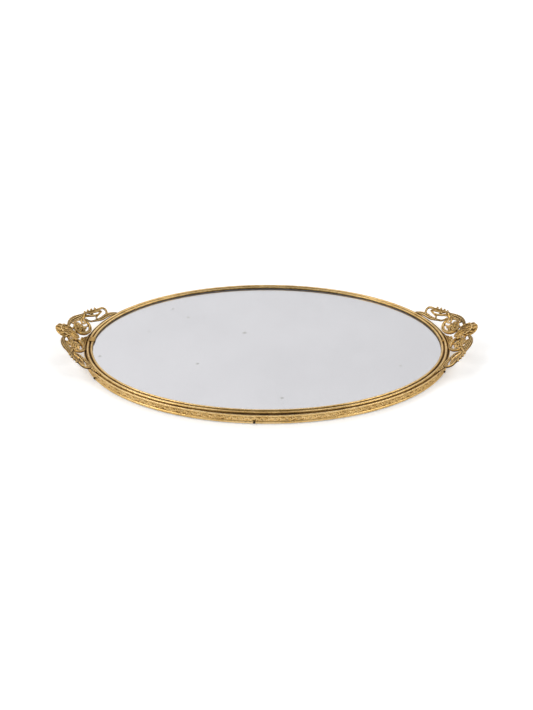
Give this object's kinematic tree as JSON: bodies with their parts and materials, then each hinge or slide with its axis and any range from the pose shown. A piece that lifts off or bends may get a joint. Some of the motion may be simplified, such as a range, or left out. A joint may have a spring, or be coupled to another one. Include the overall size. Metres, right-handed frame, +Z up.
{
  "type": "vanity tray",
  "caption": "Oval mirrored dresser tray with a double-beaded metal rim, an embossed band and openwork scroll handles that flare up at both ends.",
  "frame": {"origin": "centre of the felt underside", "axes": "+X along the long axis through the handles, +Y to the rear, +Z up out of the mirror"},
  "size_m": [0.4396, 0.2643, 0.0311],
  "materials": {
    "mirror": "silvered plate glass",
    "card": "matt",
    "board": "hardboard",
    "felt": "pressed felt",
    "gilt": "antique gold with dark recesses",
    "solder": "smooth, gilded over",
    "nail": "blackened"
  },
  "bodies": {
    "root": {"mirror_plate": "mirror", "cushion_sheet": "card", "backing_board": "board", "base_felt": "felt", "band_front": "gilt", "band_rear": "gilt", "bezel_front": "gilt", "bezel_rear": "gilt", "seam_plate_left": "solder", "seam_solder_right": "solder", "nails": "nail", "handle_left_scroll_front": "gilt", "handle_left_scroll_rear": "gilt", "handle_left_rosette_front": "gilt", "handle_left_rosette_rear": "gilt", "handle_left_bud": "gilt", "handle_left_clasp": "gilt", "handle_right_scroll_front": "gilt", "handle_right_scroll_rear": "gilt", "handle_right_rosette_front": "gilt", "handle_right_rosette_rear": "gilt", "handle_right_bud": "gilt", "handle_right_clasp": "gilt"}
  },
  "joints": []
}
